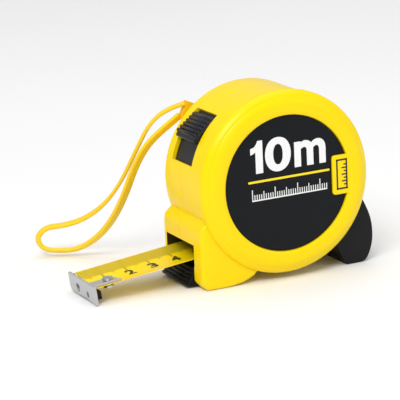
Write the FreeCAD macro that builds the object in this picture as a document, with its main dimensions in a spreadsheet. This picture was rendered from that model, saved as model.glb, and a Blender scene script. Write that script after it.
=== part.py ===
"""Pocket tape measure, 10 m long with a 25 mm blade, as an assembly of separate pieces.

Frame: millimetres, +Z up. The origin is on the floor, in the middle of the heel's foot and on the
plane where the two halves of the housing meet. The blade leaves towards -X and the printed side
faces -Y. The pieces are drawn from a point under the reel's axle, and moved when they are written.
"""
import FreeCAD
import Part
import math
import os
import Sketcher

os.makedirs("parts", exist_ok=True)
doc = FreeCAD.newDocument("tape_measure")
Vector = FreeCAD.Vector
Rotation = FreeCAD.Rotation

# ---------------------------------------------------------------- driving dimensions
DRIVING = [
    ("axle_height", 39.5, "reel axle above the floor"),
    ("foot_x", 32.8, "from the axle back to the middle of the heel's foot"),
    ("band_radius", 36.0, "outer radius of the middle band"),
    ("band_half", 16.5, "half width of the middle band"),
    ("wall", 2.4, "housing wall"),
    ("wheel_radius", 37.0, "outer radius of the near half's raised round side"),
    ("wheel_start", 17.7, "from the parting plane to the raised side's inner edge"),
    ("crest_depth", 24.0, "from the parting plane to the side ring's crest"),
    ("crease_radius", 34.6, "crease between side ring and rolled rim"),
    ("label_radius", 27.3, "radius of the side disc"),
    ("label_floor", 22.1, "from the parting plane to the recess under the disc"),
    ("label_thick", 0.7, "thickness of the side disc"),
    ("far_band_half", 14.3, "half width of the middle band on the far half"),
    ("far_start", 15.4, "from the parting plane to the far half's raised side"),
    ("far_rim", 32.6, "outer radius of the far half's raised side"),
    ("far_chin_half", 15.6, "half width of the chin on the far half"),
    ("chin_face", 37.3, "from the axle to the front face of the chin"),
    ("chin_half", 19.6, "half width of the chin"),
    ("chin_top", 28.5, "height of the chin where it meets the band"),
    ("mouth_half", 12.6, "half width of the mouth"),
    ("mouth_top", 17.6, "top of the mouth"),
    ("bay_top", 9.0, "top of the bay for the finger brake"),
    ("heel_back", 40.8, "from the axle to the back of the heel"),
    ("heel_half", 17.3, "half width of the heel on the near side"),
    ("far_heel_half", 15.1, "half width of the heel on the far side"),
    ("window_low", 165.0, "angle of the lock window's lower end, in degrees round the axle"),
    ("window_high", 129.0, "angle of the lock window's upper end"),
    ("window_half", 9.0, "half width of the lock window"),
    ("track_radius", 34.6, "outer radius of the lock's curved plate"),
    ("arm_radius", 33.0, "outer radius of the lock's arm and shoe"),
    ("blade_thick", 0.3, "steel with its coatings, and room for it to bend"),
    ("blade_half", 12.0, "half of the width across the hollow blade"),
    ("blade_curve", 37.0, "radius of the blade's hollow section"),
    ("blade_clear", 25.0, "from the axle square to the blade's upper face"),
    ("blade_run", 73.5, "straight blade from the hook to its inner end"),
    ("droop", 6.5, "slope of the blade down to its hook, in degrees"),
    ("hook_reach", 79.5, "from the axle to the inside of the hook, along X"),
    ("hook_thick", 1.0, "steel of the hook"),
    ("rivet_along", 7.7, "hook's rivet, from the inside of the hook"),
    ("rivet_side", -6.4, "hook's rivet, from the middle of the blade"),
    ("coil_radius", 22.3, "outer radius of the wound blade"),
    ("drum_radius", 9.5, "outer radius of the drum's tube"),
    ("flange_radius", 25.4, "radius of the drum's side discs"),
    ("drum_half", 13.5, "half width of the drum over its side discs"),
    ("tube_half", 12.7, "half width of the drum's tube"),
    ("spindle_radius", 3.0, "fixed post that the drum turns on"),
    ("screw_radius", 1.2, "housing screws and the clip's screw"),
    ("head_radius", 1.9, "heads of the housing screws"),
    ("brake_x", -20.3, "pin of the finger brake"),
    ("brake_z", 4.9, "height of the finger brake's pin"),
    ("clip_screw_z", 43.5, "height of the belt clip's screw"),
    ("pin_radius", 0.8, "pin through the strap's anchor"),
    ("anchor_x", -20.2, "middle of the strap's anchor"),
    ("anchor_y", 19.6, "middle of the strap's anchor, from the parting plane"),
    ("anchor_z", 63.2, "middle of the strap's anchor"),
    ("anchor_lean", 155.0, "direction in which the anchor points, in degrees from +X up"),
    ("strap_thick", 3.6, "width across the wrist strap"),
    ("clip_half", 9.0, "half width of the belt clip"),
]
sheet = doc.addObject("Spreadsheet::Sheet", "Dim")
for row, (alias, value, meaning) in enumerate(DRIVING, start=1):
    sheet.set(f"A{row}", meaning)
    sheet.set(f"B{row}", str(value))
    sheet.setAlias(f"B{row}", alias)
doc.recompute()


def size(expression):
    """The number that an expression of the sheet's cells has now."""
    return float(sheet.evalExpression(expression))


# ---------------------------------------------------------------- ways of making a piece
ALONG_Y = Rotation(Vector(1, 0, 0), -90)
ALONG_X = Rotation(Vector(0, 1, 0), 90)
AXLE = "Dim.axle_height"


def put(piece, x="0", y="0", z="0"):
    """Bind a piece's place to the sheet."""
    for axis, expression in zip("xyz", (x, y, z)):
        piece.setExpression(f"Placement.Base.{axis}", expression)
    return piece


def rod(name, radius, length, x="0", y="0", z=AXLE, turn=ALONG_Y):
    """A round bar that starts at a point and runs along +Y, or along +X with ALONG_X."""
    bar = doc.addObject("Part::Cylinder", name)
    bar.setExpression("Radius", radius)
    bar.setExpression("Height", length)
    bar.Placement = FreeCAD.Placement(Vector(), turn)
    return put(bar, x, y, z)


def block(name, x, y, z, length, width, height):
    """A box from its lowest corner."""
    box = doc.addObject("Part::Box", name)
    box.setExpression("Length", length)
    box.setExpression("Width", width)
    box.setExpression("Height", height)
    return put(box, x, y, z)


def join(name, *pieces):
    both = doc.addObject("Part::MultiFuse", name)
    both.Shapes = list(pieces)
    both.Refine = True
    return both


def cut(name, base, *tools):
    left = doc.addObject("Part::Cut", name)
    left.Base = base
    left.Tool = tools[0] if len(tools) == 1 else join(f"{name}_tools", *tools)
    left.Refine = True
    return left


def common(name, first, second):
    shared = doc.addObject("Part::Common", name)
    shared.Base = first
    shared.Tool = second
    shared.Refine = True
    return shared


def plane_of(body, role):
    return next(plane for plane in body.Origin.OriginFeatures if plane.Role == role)


def outline(body, plane, corners):
    """A closed sketch of straight sides, with every corner tied to the sheet."""
    sketch = body.newObject("Sketcher::SketchObject", f"{body.Name}_outline")
    sketch.AttachmentSupport = (plane_of(body, plane), [""])
    sketch.MapMode = "FlatFace"
    points = [Vector(size(u), size(v), 0) for u, v in corners]
    count = len(points)
    for i, start in enumerate(points):
        sketch.addGeometry(Part.LineSegment(start, points[(i + 1) % count]), False)
    for i in range(count):
        sketch.addConstraint(Sketcher.Constraint("Coincident", i, 2, (i + 1) % count, 1))
    for i, (u, v) in enumerate(corners):
        for kind, value, expression in (("DistanceX", points[i].x, u), ("DistanceY", points[i].y, v)):
            index = sketch.addConstraint(Sketcher.Constraint(kind, -1, 1, i, 1, value))
            sketch.setExpression(f"Constraints[{index}]", expression)
    return sketch


def prism(name, corners, half_width, middle="0", plane="XZ_Plane"):
    """A flat outline, padded to both sides of its plane by half_width."""
    body = doc.addObject("PartDesign::Body", name)
    sketch = outline(body, plane, corners)
    pad = body.newObject("PartDesign::Pad", f"{name}_pad")
    pad.Profile = sketch
    pad.Midplane = True
    pad.setExpression("Length", f"2 * ({half_width})")
    sketch.Visibility = False
    if plane == "XZ_Plane":
        return put(body, y=middle)
    return put(body, x=middle)


def round_edges(body, radius, chosen):
    """Round the edges of a body that chosen(midpoint, direction) picks, all with one radius."""
    doc.recompute()
    tip = body.Tip
    names = []
    for i, edge in enumerate(tip.Shape.Edges, start=1):
        if edge.Length < 0.1 or len(edge.Vertexes) < 2:
            continue
        middle = edge.valueAt((edge.FirstParameter + edge.LastParameter) / 2)
        along = (edge.Vertexes[-1].Point - edge.Vertexes[0].Point).normalize()
        if chosen(middle, along):
            names.append(f"Edge{i}")
    fillet = body.newObject("PartDesign::Fillet", f"{body.Name}_round_{len(body.Group)}")
    fillet.Base = (tip, names)
    fillet.setExpression("Radius", radius)
    body.Tip = fillet
    doc.recompute()
    return body


def turned(name, corners, angle=360, toward=90):
    """A profile of (y, radius) corners turned about the axle, whole or over an angle that is
    centred on the direction toward, both in degrees and measured from +X up."""
    body = doc.addObject("PartDesign::Body", name)
    sketch = outline(body, "YZ_Plane", corners)
    turn = body.newObject("PartDesign::Revolution", f"{name}_turn")
    turn.Profile = sketch
    turn.ReferenceAxis = (sketch, ["H_Axis"])
    turn.Midplane = angle != 360
    turn.Angle = angle
    sketch.Visibility = False
    body.Placement = FreeCAD.Placement(Vector(), Rotation(Vector(0, 1, 0), 90 - toward))
    return put(body, z=AXLE)


def ring_piece(name, inner, outer, half_width, start, end):
    """Part of a ring round the axle, between two angles measured from +X up."""
    low, high = size(start), size(end)
    corners = [(f"-({half_width})", inner), (half_width, inner),
               (half_width, outer), (f"-({half_width})", outer)]
    return turned(name, corners, high - low, (high + low) / 2)


def polar(radius, angle):
    """A corner at a radius and an angle round the axle, as two expressions."""
    return f"({radius}) * cos({angle})", f"{AXLE} + ({radius}) * sin({angle})"


NODES = []


def node(piece, name):
    """Keep a piece under the name of its file."""
    piece.Label = name
    NODES.append(piece)
    return piece


# ---------------------------------------------------------------- housing
# Two moulded halves meet on the plane y = 0. Each is a narrow middle band, a raised round side
# with a rolled rim, and half of the chin with the mouth in it.
SCREWS = [("-32.8", "22.5"), polar("30.1", "78"), polar("30.1", "-9"), polar("30.1", "-64")]
BOSS_RADIUS = "2.3"
BAND_INSIDE = "Dim.band_radius - Dim.wall"
REAR_CORNER = [("20", "14"), ("29.6", "2.6"), ("36.8", "3.4"), ("38.4", "8"), ("38.4", "18"),
               ("35.4", "25"), ("31", "32"), ("0", AXLE)]


def chin(name, side):
    """The block round the mouth, as wide as the cheeks, with soft corners."""
    half = "Dim.chin_half" if side < 0 else "Dim.far_chin_half"
    body = prism(name, [("-Dim.chin_face", "3"), ("-Dim.chin_face + 2.5", "0"), ("-25", "0"),
                        ("-19", "0.9"), ("-14.4", "2.9"), ("-8", "9"), ("-12", "26"),
                        ("-32.4", "Dim.chin_top + 0.6"), ("-Dim.chin_face", "Dim.chin_top - 3.6")],
                 f"{half} / 2", middle=f"{side} * {half} / 2")
    outer = size(f"{side} * {half}")

    def front_top(middle, along):
        return abs(along.y) > 0.99 and middle.x < -32 and middle.z > 20

    def cheek(middle, along):
        return abs(middle.y + size(f"{side} * {half} / 2") - outer) < 0.01 and middle.x < -9

    round_edges(body, "2.6", front_top)
    return round_edges(body, "2.4", cheek)


def near_wheel(name):
    """The raised side: rolled rim, crease, convex ring, lip and the recess for the disc."""
    profile = [("0", "0"), ("0", "Dim.band_radius - 1.5"),
               ("Dim.wheel_start", "Dim.band_radius - 1.5"),
               ("Dim.wheel_start", "Dim.wheel_radius - 0.7"),
               ("Dim.wheel_start + 0.7", "Dim.wheel_radius"),
               ("Dim.wheel_start + 2.1", "Dim.wheel_radius"),
               ("Dim.wheel_start + 3.6", "Dim.wheel_radius - 0.5"),
               ("Dim.wheel_start + 4.7", "Dim.crease_radius + 0.45"),
               ("Dim.wheel_start + 5.0", "Dim.crease_radius + 0.2"),
               ("Dim.wheel_start + 4.9", "Dim.crease_radius - 0.2"),
               ("Dim.crest_depth - 0.6", "Dim.crease_radius - 0.9"),
               ("Dim.crest_depth", "Dim.crease_radius - 2.6"),
               ("Dim.crest_depth", "Dim.label_radius + 2.2"),
               ("Dim.crest_depth - 0.4", "Dim.label_radius + 0.6"),
               ("Dim.crest_depth - 1.0", "Dim.label_radius + 0.2"),
               ("Dim.label_floor", "Dim.label_radius + 0.2"),
               ("Dim.label_floor", "0")]
    return turned(name, [(f"-({y})", r) for y, r in profile])


def far_wheel(name):
    """The far half's smaller and plainer raised side, with the same recess."""
    return turned(name, [("0", "0"), ("0", "Dim.band_radius - 1.5"),
                         ("Dim.far_start", "Dim.band_radius - 1.5"), ("Dim.far_start", "Dim.far_rim"),
                         ("Dim.far_start + 4.4", "Dim.far_rim"),
                         ("Dim.crest_depth - 1.6", "Dim.far_rim - 0.8"),
                         ("Dim.crest_depth", "Dim.far_rim - 2.4"),
                         ("Dim.crest_depth", "Dim.label_radius + 1.6"),
                         ("Dim.crest_depth - 1.0", "Dim.label_radius + 0.2"),
                         ("Dim.label_floor", "Dim.label_radius + 0.2"), ("Dim.label_floor", "0")])


def span(name, radius, half, side, x="0", z=AXLE, start="0"):
    """A rod from start to half on one side of the parting plane."""
    first = start if side > 0 else f"-({half})"
    return rod(name, radius, f"({half}) - ({start})", x, first, z)


def housing_half(tag, side):
    """One half of the housing, side -1 near and +1 far."""
    band_half = "Dim.band_half" if side < 0 else "Dim.far_band_half"
    chin_half = "Dim.chin_half" if side < 0 else "Dim.far_chin_half"
    band = span(f"{tag}_band", "Dim.band_radius", band_half, side)
    corner = prism(f"{tag}_corner", REAR_CORNER, f"{band_half} / 2", middle=f"{side} * {band_half} / 2")
    raised = near_wheel("near_wheel") if side < 0 else far_wheel("far_wheel")
    solid = join(f"{tag}_solid", band, corner, chin(f"{tag}_chin", side), raised)
    reel_room = span(f"{tag}_reel_room", BAND_INSIDE, f"{band_half} - 1.7", side)
    side_room = span(f"{tag}_side_room", "30.6", "Dim.label_floor - Dim.wall", side)
    rear_room = block(f"{tag}_rear_room", "0", "-Dim.blade_half - 1", "12.4", "35.2",
                      "2 * Dim.blade_half + 2", "9")
    mouth = block(f"{tag}_mouth", "-45", "-Dim.mouth_half", "Dim.bay_top - 0.2", "48",
                  "2 * Dim.mouth_half", "Dim.mouth_top - Dim.bay_top + 0.2")
    bay = block(f"{tag}_bay", "-45", "-Dim.mouth_half + 0.4", "-1", "28.5",
                "2 * Dim.mouth_half - 0.8", "Dim.bay_top + 1.5")
    window = prism(f"{tag}_window", [polar("29", "Dim.window_low + 2"), polar("42", "Dim.window_low"),
                                     polar("42", "Dim.window_high"), polar("29", "Dim.window_high")],
                   "Dim.window_half")
    track = ring_piece(f"{tag}_track", "Dim.track_radius - 2", "Dim.track_radius + 0.2",
                       "Dim.window_half - 0.1", "116", "189")
    hollow = cut(f"{tag}_hollow", solid, reel_room, side_room, rear_room, mouth, bay, window, track)
    added = [hollow]
    holes = []
    depth = "Dim.label_floor - Dim.wall + 0.4"
    for i, (x, z) in enumerate(SCREWS):
        reach = f"{chin_half} - 1.5" if i == 0 else depth
        added.append(span(f"{tag}_boss_{i}", BOSS_RADIUS, reach, side, x, z))
        if side < 0:
            holes.append(span(f"{tag}_hole_{i}", "Dim.screw_radius + 0.05", "15.2", side, x, z))
            continue
        head_seat = f"{chin_half} - 3.4" if i == 0 else "Dim.crest_depth - 4.4"
        holes.append(span(f"{tag}_hole_{i}", "Dim.screw_radius + 0.1", "30", side, x, z))
        holes.append(span(f"{tag}_sink_{i}", "Dim.head_radius + 0.15", "30", side, x, z,
                          start=head_seat))
    added.append(span(f"{tag}_socket", "6", depth, side, start="14.4"))
    holes.append(span(f"{tag}_socket_hole", "Dim.spindle_radius + 0.02", "18.1", side))
    if side > 0:
        lug = anchor_shape(f"{tag}_lug", "13", "12.4", "7.2", "-7.4")
        lug_room = span(f"{tag}_lug_room", "Dim.band_radius - 3", "Dim.label_floor", side, start="15")
        added.append(common(f"{tag}_lug_inside", lug, lug_room))
        holes.append(anchor_shape(f"{tag}_notch", "22", "8.4", "4.2", "-5.2"))
        holes.append(anchor_shape(f"{tag}_strap_room", "18", "17", "9.6", "3.0"))
        holes.append(rod(f"{tag}_pin_hole", "Dim.pin_radius + 0.05", "7.4", *STRAP_PIN))
        holes.append(span(f"{tag}_clip_hole", "Dim.screw_radius + 0.05", "30", side,
                          z="Dim.clip_screw_z", start="19"))
    return node(cut(f"housing_{tag}", join(f"{tag}_joined", *added), *holes), f"housing_{tag}")


# The strap's anchor leans forward, and a pin behind its middle holds it in its notch.
STRAP_PIN = ("Dim.anchor_x - 1.6 * cos(Dim.anchor_lean)", "Dim.anchor_y - 3.6",
             "Dim.anchor_z - 1.6 * sin(Dim.anchor_lean)")


def anchor_shape(name, length, height, width, back):
    """A box centred across the anchor's own line, starting at back along that line."""
    body = doc.addObject("PartDesign::Body", name)
    box = body.newObject("PartDesign::AdditiveBox", f"{name}_box")
    box.setExpression("Length", length)
    box.setExpression("Width", width)
    box.setExpression("Height", height)
    box.setExpression("AttachmentOffset.Base.x", back)
    box.setExpression("AttachmentOffset.Base.y", f"-({width}) / 2")
    box.setExpression("AttachmentOffset.Base.z", f"-({height}) / 2")
    box.AttachmentSupport = (plane_of(body, "XY_Plane"), [""])
    box.MapMode = "FlatFace"
    body.Placement = FreeCAD.Placement(Vector(), Rotation(Vector(0, 1, 0), -size("Dim.anchor_lean")))
    return put(body, "Dim.anchor_x", "Dim.anchor_y", "Dim.anchor_z")


housing_half("near", -1)
housing_half("far", 1)

# Printed plastic discs in the two side recesses. The far one has a hole for the clip's screw.
for tag, side in (("near", -1), ("far", 1)):
    start = "Dim.label_floor" if side > 0 else "-Dim.label_floor - Dim.label_thick"
    disc = rod(f"disc_{tag}", "Dim.label_radius", "Dim.label_thick", y=start)
    if side > 0:
        hole = rod("disc_hole", "Dim.screw_radius + 0.1", "4", y="Dim.label_floor - 1",
                   z="Dim.clip_screw_z")
        disc = cut("disc_far_drilled", disc, hole)
    node(disc, f"side_disc_{tag}")

# Rubber heel, moulded over the rear lower corner of the band.
heel_block = prism("heel_block", [("28.6", "0"), ("37", "0"), ("Dim.heel_back - 1.6", "3.4"),
                                  ("Dim.heel_back", "8.4"), ("Dim.heel_back", "15"),
                                  ("Dim.heel_back - 1.4", "20.5"), ("Dim.heel_back - 5", "28"),
                                  ("31.5", "33.5"), ("20", "25"), ("22.4", "11.2")],
                   "(Dim.heel_half + Dim.far_heel_half) / 2",
                   middle="(Dim.far_heel_half - Dim.heel_half) / 2")
round_edges(heel_block, "2.2", lambda middle, along: abs(along.y) > 0.99 and middle.x > 33
            and 1 < middle.z < 30)
round_edges(heel_block, "1.6", lambda middle, along: abs(along.y) < 0.1 and middle.x > 32)
heel_core = join("heel_core", rod("heel_band", "Dim.band_radius", "2 * Dim.heel_half + 2",
                                  y="-Dim.heel_half - 1"),
                 prism("heel_corner", REAR_CORNER, "(Dim.band_half + Dim.far_band_half) / 2",
                       middle="(Dim.far_band_half - Dim.band_half) / 2"))
node(cut("heel_cut", heel_block, heel_core), "rear_heel")

# Four screws that hold the halves together, driven in from the far side.
screws = []
for i, (x, z) in enumerate(SCREWS):
    seat = "Dim.far_chin_half - 3.4" if i == 0 else "Dim.crest_depth - 4.4"
    head = rod(f"screw_head_{i}", "Dim.head_radius", "1.8", x, seat, z)
    shank = rod(f"screw_shank_{i}", "Dim.screw_radius", f"({seat}) + 14.5", x, "-14.5", z)
    slot_a = block(f"screw_slot_{i}a", f"({x}) - 1.2", f"({seat}) + 0.9", f"({z}) - 0.3", "2.4", "2", "0.6")
    slot_b = block(f"screw_slot_{i}b", f"({x}) - 0.3", f"({seat}) + 0.9", f"({z}) - 1.2", "0.6", "2", "2.4")
    screws.append(cut(f"screw_{i}", join(f"screw_body_{i}", head, shank), slot_a, slot_b))
set_of_screws = doc.addObject("Part::Compound", "screws")
set_of_screws.Links = screws
node(set_of_screws, "housing_screws")

# ---------------------------------------------------------------- reel
# A fixed slotted post carries the drum. The blade is wound on the drum's tube, and a flat
# spring inside the tube pulls it back.
post = rod("post", "Dim.spindle_radius", "36", y="-18")
post_slot = block("post_slot", "-0.35", "-10", "Dim.axle_height - 4", "0.7", "21", "8")
node(cut("post_cut", post, post_slot), "spindle")

BORE = "Dim.spindle_radius + 0.06"
node(turned("drum_turned", [("-Dim.drum_half", BORE), ("-Dim.drum_half", "Dim.flange_radius"),
                            ("-Dim.tube_half", "Dim.flange_radius"), ("-Dim.tube_half", "Dim.drum_radius"),
                            ("Dim.tube_half", "Dim.drum_radius"),
                            ("Dim.tube_half", "Dim.drum_radius - 1.1"),
                            ("-Dim.drum_half + 2", "Dim.drum_radius - 1.1"),
                            ("-Dim.drum_half + 2", BORE)]), "reel_drum")
node(turned("cover_turned", [("Dim.tube_half", BORE), ("Dim.drum_half", BORE),
                             ("Dim.drum_half", "Dim.flange_radius"),
                             ("Dim.tube_half", "Dim.flange_radius")]), "reel_cover")
COIL_HALF = "Dim.tube_half - 0.2"
node(turned("coil_turned", [(f"-({COIL_HALF})", "Dim.drum_radius"), (COIL_HALF, "Dim.drum_radius"),
                            (COIL_HALF, "Dim.coil_radius"), (f"-({COIL_HALF})", "Dim.coil_radius")]),
     "blade_coil")


def half_circle_spiral(inner, step, turns, thick):
    """A flat spiral strip seen from its side: half circles whose radius grows, out and back."""
    centre = Vector(0, 0, size(AXLE))

    def at(x):
        return centre + Vector(x, 0, 0)

    def side_of_strip(offset):
        arcs = []
        for i in range(2 * turns):
            sign = 1 if i % 2 == 0 else -1
            start = at(sign * (inner + i * step / 2 + offset))
            end = at(-sign * (inner + (i + 1) * step / 2 + offset))
            radius = (start - end).Length / 2
            top = (start + end) * 0.5 + Vector(0, 0, sign * radius)
            arcs.append(Part.Arc(start, top, end).toShape())
        return arcs

    inside, outside = side_of_strip(0), side_of_strip(thick)
    ends = [Part.LineSegment(inside[0].Vertexes[0].Point, outside[0].Vertexes[0].Point).toShape(),
            Part.LineSegment(inside[-1].Vertexes[-1].Point, outside[-1].Vertexes[-1].Point).toShape()]
    edges = Part.sortEdges(inside + outside + ends)[0]
    return Part.Face(Part.Wire(edges))


spring = doc.addObject("Part::Feature", "spring")
strip = half_circle_spiral(size("Dim.spindle_radius") + 0.4, 0.8, 5, 0.35)
strip.translate(Vector(0, -11, 0))
spring.Shape = strip.extrude(Vector(0, 22, 0))
node(spring, "return_spring")

# ---------------------------------------------------------------- blade and hook
# These are drawn level, with the hook's inner face at x = 0 and the middle of the blade's
# upper face at z = 0, and then set down at the blade's slope.
BLADE_LIFT = "Dim.axle_height - Dim.blade_clear / cos(Dim.droop) - Dim.hook_reach * tan(Dim.droop)"


def along_blade(piece):
    """Put a piece that was drawn level on the sloping line of the blade."""
    piece.Placement = FreeCAD.Placement(Vector(), Rotation(Vector(0, 1, 0), -size("Dim.droop")))
    return put(piece, x="-Dim.hook_reach", z=BLADE_LIFT)


def hollow_sheet(name, top_radius, bottom_radius, x, y, length, width):
    """A strip with the blade's hollow section, cut from a tube that lies along the blade."""
    curve = "Dim.blade_curve"
    tube = cut(f"{name}_tube", rod(f"{name}_under", bottom_radius, length, x, "0", curve, ALONG_X),
               rod(f"{name}_over", top_radius, length, x, "0", curve, ALONG_X))
    return common(f"{name}_strip", tube, block(f"{name}_width", x, y, "-4", length, width, "9"))


blade = hollow_sheet("blade", "Dim.blade_curve", "Dim.blade_curve + Dim.blade_thick", "0.6",
                     "-Dim.blade_half", "Dim.blade_run", "2 * Dim.blade_half")
rivet_seat = rod("rivet_seat", "1.3", "9", "Dim.rivet_along", "Dim.rivet_side", "-4", Rotation())
node(along_blade(cut("blade_punched", blade, rivet_seat)), "blade")

hook_face = prism("hook_face", [("-13", "2.7"), ("13", "2.7"), ("13", "-3.2"), ("11", "-4.8"),
                                ("4", "-4.5"), ("-3", "-4.2"), ("-9", "-4.7"), ("-12.4", "-5.2"),
                                ("-13", "-4.8")],
                  "Dim.hook_thick / 2", middle="-Dim.hook_thick / 2", plane="YZ_Plane")
round_edges(hook_face, "1.8", lambda middle, along: abs(along.x) > 0.99 and middle.y > 10
            and middle.z < 0)
tongue = hollow_sheet("tongue", "Dim.blade_curve - 1", "Dim.blade_curve - 0.12", "-0.3", "-11.4",
                      "12", "10")
slot_in = rod("slot_in", "1.35", "9", "Dim.rivet_along - 0.5", "Dim.rivet_side", "-4", Rotation())
slot_out = rod("slot_out", "1.35", "9", "Dim.rivet_along + 0.5", "Dim.rivet_side", "-4", Rotation())
slot_mid = block("slot_mid", "Dim.rivet_along - 0.5", "Dim.rivet_side - 1.35", "-4", "1", "2.7", "9")
big_hole = rod("big_hole", "1.75", "4", "-2", "4.3", "-1.6", ALONG_X)
small_hole = rod("small_hole", "1.25", "4", "-2", "-5.4", "-2.2", ALONG_X)
node(along_blade(cut("hook_cut", join("hook_joined", hook_face, tongue), slot_in, slot_out, slot_mid,
                     big_hole, small_hole)), "end_hook")

rivet_shank = rod("rivet_shank", "1.25", "3.2", "Dim.rivet_along", "Dim.rivet_side", "-0.6", Rotation())
rivet_top = rod("rivet_top", "2.1", "0.7", "Dim.rivet_along", "Dim.rivet_side", "2.1", Rotation())
rivet_foot = rod("rivet_foot", "2.1", "0.5", "Dim.rivet_along", "Dim.rivet_side", "-0.8", Rotation())
node(along_blade(join("rivet", rivet_shank, rivet_top, rivet_foot)), "hook_rivet")

bumper = block("bumper_block", "0.9", "-10.4", "-3.6", "1.8", "20.8", "3.2")
bumper_top = rod("bumper_top", "Dim.blade_curve + Dim.blade_thick", "6", "-1", "0",
                 "Dim.blade_curve", ALONG_X)
node(along_blade(cut("bumper", bumper, bumper_top)), "hook_bumper")

# ---------------------------------------------------------------- thumb lock
# A curved plate slides in the band round the axle. It carries the ribbed thumb piece, and its
# arm ends in a rubber shoe that comes down on the blade.
RIB_ANGLES = [133.5 + 2.75 * i for i in range(6)]
LOCK_HALF = "Dim.window_half - 0.4"
plate = ring_piece("lock_plate", "Dim.track_radius - 2", "Dim.track_radius", LOCK_HALF, "117", "177")
thumb = prism("lock_thumb", [polar("32", "131.3"), polar("35.2", "131.3"), polar("36.0", "134"),
                             polar("38.0", "149"), polar("37.6", "151.4"), polar("35.0", "150"),
                             polar("32", "150")], LOCK_HALF)
ribs = []
for i, angle in enumerate(RIB_ANGLES):
    x, z = polar(f"35.7 + {i} * 0.42", str(angle))
    ribs.append(rod(f"lock_rib_{i}", "0.85", f"2 * ({LOCK_HALF})", x, f"-({LOCK_HALF})", z))
arm = ring_piece("lock_arm", "Dim.arm_radius - 1.5", "Dim.arm_radius", "4", "166", "218.5")
node(join("lock_joined", plate, thumb, arm, *ribs), "lock_slider")
node(ring_piece("shoe", "Dim.arm_radius - 2.1", "Dim.arm_radius", "4.6", "218.5", "222.5"), "lock_shoe")

# ---------------------------------------------------------------- finger brake
# A ribbed lever under the blade, on a pin between the cheeks. A close coil spring round the pin
# holds it down.
BRAKE_HALF = "Dim.mouth_half - 0.9"
lever = prism("brake_body", [("-40.6", "1.4"), ("-39.4", "0.7"), ("-22", "0.7"), ("-17.9", "3.2"),
                             ("-17.9", "6.2"), ("-21.5", "7.4"), ("-36.2", "7.4")], BRAKE_HALF)
brake_ribs = [rod(f"brake_rib_{i}", "0.7", f"2 * ({BRAKE_HALF}) - 1.2", f"-40.3 + {i} * 0.9",
                  f"-({BRAKE_HALF}) + 0.6", f"1.9 + {i} * 1.3") for i in range(5)]
brake_hole = rod("brake_hole", "1.05", "30", "Dim.brake_x", "-15", "Dim.brake_z")
spring_room = rod("spring_room", "3", "6.6", "Dim.brake_x", "-3.3", "Dim.brake_z")
spring_gap = block("spring_gap", "-21.5", "-3.3", "-1", "6", "6.6", "6")
node(cut("brake_cut", join("brake_joined", lever, *brake_ribs), brake_hole, spring_room, spring_gap),
     "finger_brake")
node(rod("brake_rod", "1", "29", "Dim.brake_x", "-14.5", "Dim.brake_z"), "brake_pin")
COILS = 7
coil_pitch = 5.6 / COILS
coil_outline = [("-2.8", "1.05"), ("-2.8", "1.5")]
for i in range(COILS):
    coil_outline.append((f"-2.8 + {(i + 0.5) * coil_pitch}", "2.2"))
    coil_outline.append((f"-2.8 + {(i + 1) * coil_pitch}", "1.5"))
coil_outline.append(("2.8", "1.05"))
coil = turned("brake_coil", coil_outline)
node(put(coil, x="Dim.brake_x", z="Dim.brake_z"), "brake_spring")

# ---------------------------------------------------------------- strap anchor and strap
node(cut("anchor_cut", anchor_shape("anchor", "9", "7.6", "3.4", "-4.5"),
         rod("anchor_hole", "Dim.pin_radius + 0.05", "8", *STRAP_PIN)), "strap_anchor")
node(rod("strap_rod", "Dim.pin_radius", "7.2", *STRAP_PIN), "strap_pin")

# The strap leaves the anchor's upper half, falls to the floor behind the housing, turns there
# and comes back to the anchor's lower half.
STRAP_ROUTE = [(-23.2, 19.6, 67.5), (-29.5, 23.0, 65.6), (-35.6, 28.0, 59.4), (-39.6, 33.6, 47.8),
               (-43.3, 42.0, 33.4), (-48.0, 50.0, 22.6), (-54.6, 58.0, 15.4), (-62.0, 63.0, 12.8),
               (-68.9, 65.5, 12.6), (-73.2, 66.2, 8.6), (-71.2, 64.6, 3.6), (-64.8, 61.6, 2.6),
               (-58.0, 57.4, 3.1), (-51.8, 50.0, 9.0), (-48.0, 42.0, 18.0), (-44.6, 36.0, 29.2),
               (-42.0, 31.0, 41.2), (-38.2, 26.6, 50.6), (-32.2, 23.0, 57.2), (-25.6, 19.6, 62.9)]


def cord_path(route):
    """Straight runs joined by tangent arcs, each as large as its two runs allow."""
    points = [Vector(*point) for point in route]
    edges, radii, start = [], [], points[0]
    for before, corner, after in zip(points, points[1:], points[2:]):
        back, ahead = (before - corner), (after - corner)
        reach = 0.45 * min(back.Length, ahead.Length)
        turn = math.pi - back.getAngle(ahead)
        back.normalize()
        ahead.normalize()
        first, last = corner + back * reach, corner + ahead * reach
        radius = reach / math.tan(turn / 2)
        bisector = (back + ahead).normalize()
        middle = corner + bisector * (radius / math.cos(turn / 2) - radius)
        edges += [Part.LineSegment(start, first).toShape(), Part.Arc(first, middle, last).toShape()]
        radii.append(round(radius, 1))
        start = last
    edges.append(Part.LineSegment(start, points[-1]).toShape())
    return Part.Wire(edges), radii


path, bends = cord_path(STRAP_ROUTE)
strap_radius = size("Dim.strap_thick") / 2
leaving = (Vector(*STRAP_ROUTE[1]) - Vector(*STRAP_ROUTE[0])).normalize()
section = Part.Wire(Part.makeCircle(strap_radius, Vector(*STRAP_ROUTE[0]), leaving))
strap = doc.addObject("Part::Feature", "strap")
strap.Shape = path.makePipeShell([section], True, False)
node(strap, "wrist_strap")
expected = math.pi * strap_radius ** 2 * path.Length
print(f"strap {path.Length:.1f} mm long, bends {bends}")
print(f"strap volume {strap.Shape.Volume / expected:.3f} of a straight one's")

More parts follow.
